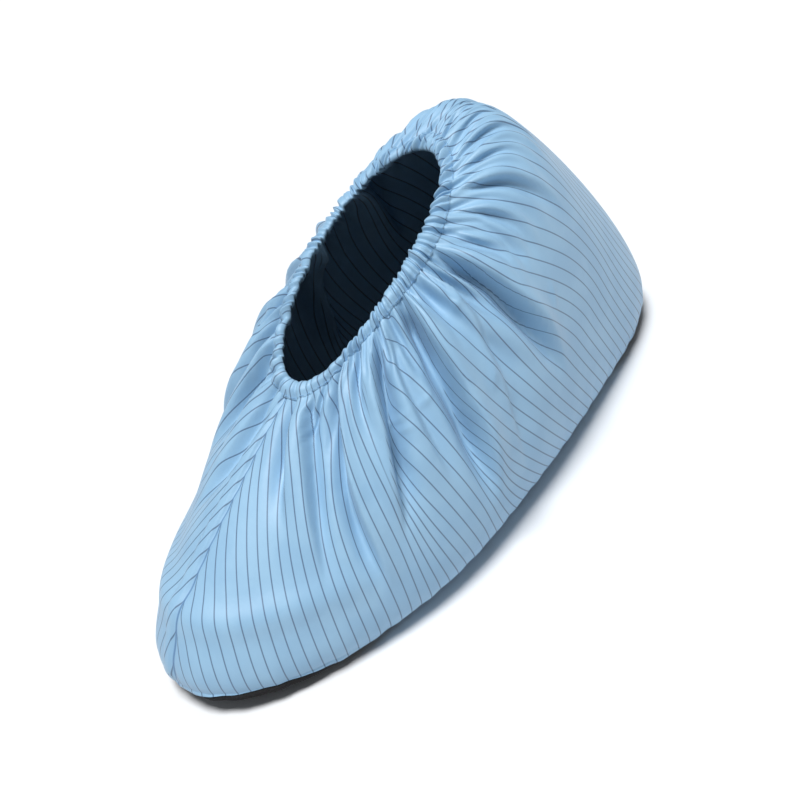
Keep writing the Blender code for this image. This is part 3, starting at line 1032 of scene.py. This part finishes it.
def build_sole(edge, lean, out, material):
    """Thin grip sole that rises to the seam under the cloth's edge."""
    columns = edge.shape[0]
    turn = round_ring(SEAM_TURN, columns)
    rows = [edge_turn(edge, lean, out, turn + step * (1 - turn)) for step in SOLE_EDGE_STEPS]
    foot = rows[-1]
    spine = foot.copy()
    spine[:, 0] = np.clip(foot[:, 0], -SOLE_SPINE, SOLE_SPINE)
    spine[:, 1] = 0.0
    for step in SOLE_INNER_STEPS:
        row = foot + step * (spine - foot)
        row[:, 2] = spring(row[:, 0]) + DOT_HEIGHT
        rows.append(row)
    below = np.array(rows)
    normal = outward(below)
    normal[len(SOLE_EDGE_STEPS):] = (0.0, 0.0, 1.0)
    inwards = np.linalg.norm(below - below[:1], axis=2)
    below = below + normal * (SOLE_TUCK * np.exp(-(inwards / TUCK_REACH) ** 2))[:, :, None]
    above = below + normal * SOLE_THICK
    levels = below.shape[0]
    points = np.concatenate([below[::-1], above], axis=0)
    faces = ring_faces(2 * levels, columns, False)
    middle = columns // 2
    last = (2 * levels - 1) * columns
    for base, flip in ((0, True), (last, False)):
        for column in range(middle):
            near = (base + column, base + column + 1)
            far = (base + (columns - column - 1) % columns, base + (columns - column) % columns)
            face = [*near, *far]
            if column == 0:
                face = [near[0], near[1], far[0]]
            if column == middle - 1:
                face = [near[0], near[1], far[1]]
            faces.append(tuple(face[::-1] if flip else face))
    piece = add_piece("grip_sole", points, faces, material)
    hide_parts("sole")


def dot_places(half, out):
    """Centres of the grip dots in staggered rows, inside the sole's margin."""
    edge = half[0, :, :2] - out * DOT_MARGIN
    reach_x = edge[::-1, 0]
    reach_y = edge[::-1, 1]
    places = []
    for row in range(int(SOLE_LENGTH / DOT_ROW) + 1):
        x = -0.5 * SOLE_LENGTH + row * DOT_ROW
        if x < reach_x[0] or x > reach_x[-1]:
            continue
        half_width = np.interp(x, reach_x, reach_y)
        steps = int(half_width / DOT_PITCH) + 1
        for step in range(-steps, steps + 1):
            y = (step + 0.5 * (row % 2)) * DOT_PITCH
            if abs(y) <= half_width:
                places.append((x, y))
    return places


def build_dots(places, material):
    """Small domes under the sole."""
    turn = np.linspace(0.0, 2 * np.pi, DOT_SIDES, endpoint=False)
    circle = np.stack([np.cos(turn), np.sin(turn)], axis=1)
    points = []
    faces = []
    for x, y in places:
        ground = float(spring(np.array([x]))[0])
        first = len(points)
        for level in DOT_RINGS:
            size = DOT_RADIUS * np.sqrt(1 - DOT_ROUND * level ** 2)
            high = ground + DOT_HEIGHT * (DOT_DOME - DOT_DOME * level)
            for ahead, aside in circle:
                points.append((x + size * ahead, y + size * aside, high))
        points.append((x, y, ground))
        for level in range(len(DOT_RINGS) - 1):
            low = first + level * DOT_SIDES
            for corner in range(DOT_SIDES):
                after = (corner + 1) % DOT_SIDES
                faces.append((low + after, low + corner, low + DOT_SIDES + corner, low + DOT_SIDES + after))
        ring = first + (len(DOT_RINGS) - 1) * DOT_SIDES
        for corner in range(DOT_SIDES):
            faces.append((ring + (corner + 1) % DOT_SIDES, ring + corner, ring + DOT_SIDES))
        faces.append(tuple(first + corner for corner in range(DOT_SIDES)))
    add_piece("grip_dots", np.array(points), faces, material)


# Stage, light and camera

def view_frame():
    """Camera place and its right, up and back directions in the frame of the cover."""
    azimuth = np.radians(VIEW_AZIMUTH)
    elevation = np.radians(VIEW_ELEVATION)
    roll = np.radians(VIEW_ROLL)
    level = np.cos(elevation)
    back = Vector((level * np.cos(azimuth), level * np.sin(azimuth), np.sin(elevation)))
    level_right = (-back).cross(Vector((0.0, 0.0, 1.0))).normalized()
    level_up = level_right.cross(-back)
    up = level_up * float(np.cos(roll)) + level_right * float(np.sin(roll))
    right = (-back).cross(up)
    return Vector(VIEW_AIM) + VIEW_DISTANCE * back, right, up, back


def add_camera():
    place, right, up, back = view_frame()
    data = bpy.data.cameras.new("photo_camera")
    data.lens = LENS
    data.sensor_width = SENSOR
    data.clip_start = CLIP_START
    camera = bpy.data.objects.new("photo_camera", data)
    camera.matrix_world = Matrix((
        (right.x, up.x, back.x, place.x),
        (right.y, up.y, back.y, place.y),
        (right.z, up.z, back.z, place.z),
        (0.0, 0.0, 0.0, 1.0),
    ))
    bpy.context.scene.collection.objects.link(camera)
    bpy.context.scene.camera = camera


def add_lights():
    """One soft key light and an even sky."""
    _, right, up, back = view_frame()
    towards = (KEY_WAY[0] * right + KEY_WAY[1] * up + KEY_WAY[2] * back).normalized()
    data = bpy.data.lights.new("key", "SUN")
    data.angle = float(np.radians(KEY_WIDTH))
    data.energy = KEY_POWER
    lamp = bpy.data.objects.new("key", data)
    lamp.location = KEY_DISTANCE * towards
    lamp.rotation_euler = towards.to_track_quat("Z", "Y").to_euler()
    bpy.context.scene.collection.objects.link(lamp)
    world = bpy.data.worlds.new("studio")
    world.use_nodes = True
    background = world.node_tree.nodes["Background"]
    background.inputs["Color"].default_value = SKY
    background.inputs["Strength"].default_value = AMBIENT
    bpy.context.scene.world = world
    bpy.context.scene.view_settings.view_transform = "Standard"


def add_floor():
    """Wide white paper that the cover stands on."""
    turns = ((-1, -1), (1, -1), (1, 1), (-1, 1))
    corners = [(FLOOR_HALF * ahead, FLOOR_HALF * aside, 0.0) for ahead, aside in turns]
    mesh = bpy.data.meshes.new("floor")
    mesh.from_pydata(corners, [], [(0, 1, 2, 3)])
    material, _, _ = new_material("floor_paper", FLOOR, 0.9)
    mesh.materials.append(material)
    floor = bpy.data.objects.new("floor", mesh)
    bpy.context.scene.collection.objects.link(floor)


wall_form, seam_out = half_form(HALF_COLUMNS + 1)
fine_form, _ = half_form(CASING_HALF_COLUMNS + 1)
cloth = cloth_material()
upper, lower_edge, edge_lean, edge_out = build_cloth(wall_form, seam_out, cloth)
casing_outer, casing_inner, casing_normal, casing_panel = casing_form(fine_form)
casing = build_casing(casing_outer, casing_inner, casing_panel, cloth)
stitches = build_stitches(casing_outer, casing_normal, thread_material())
build_sole(lower_edge, edge_lean, edge_out, sole_material())
build_dots(dot_places(wall_form, seam_out), dot_material())

add_floor()
add_lights()
add_camera()
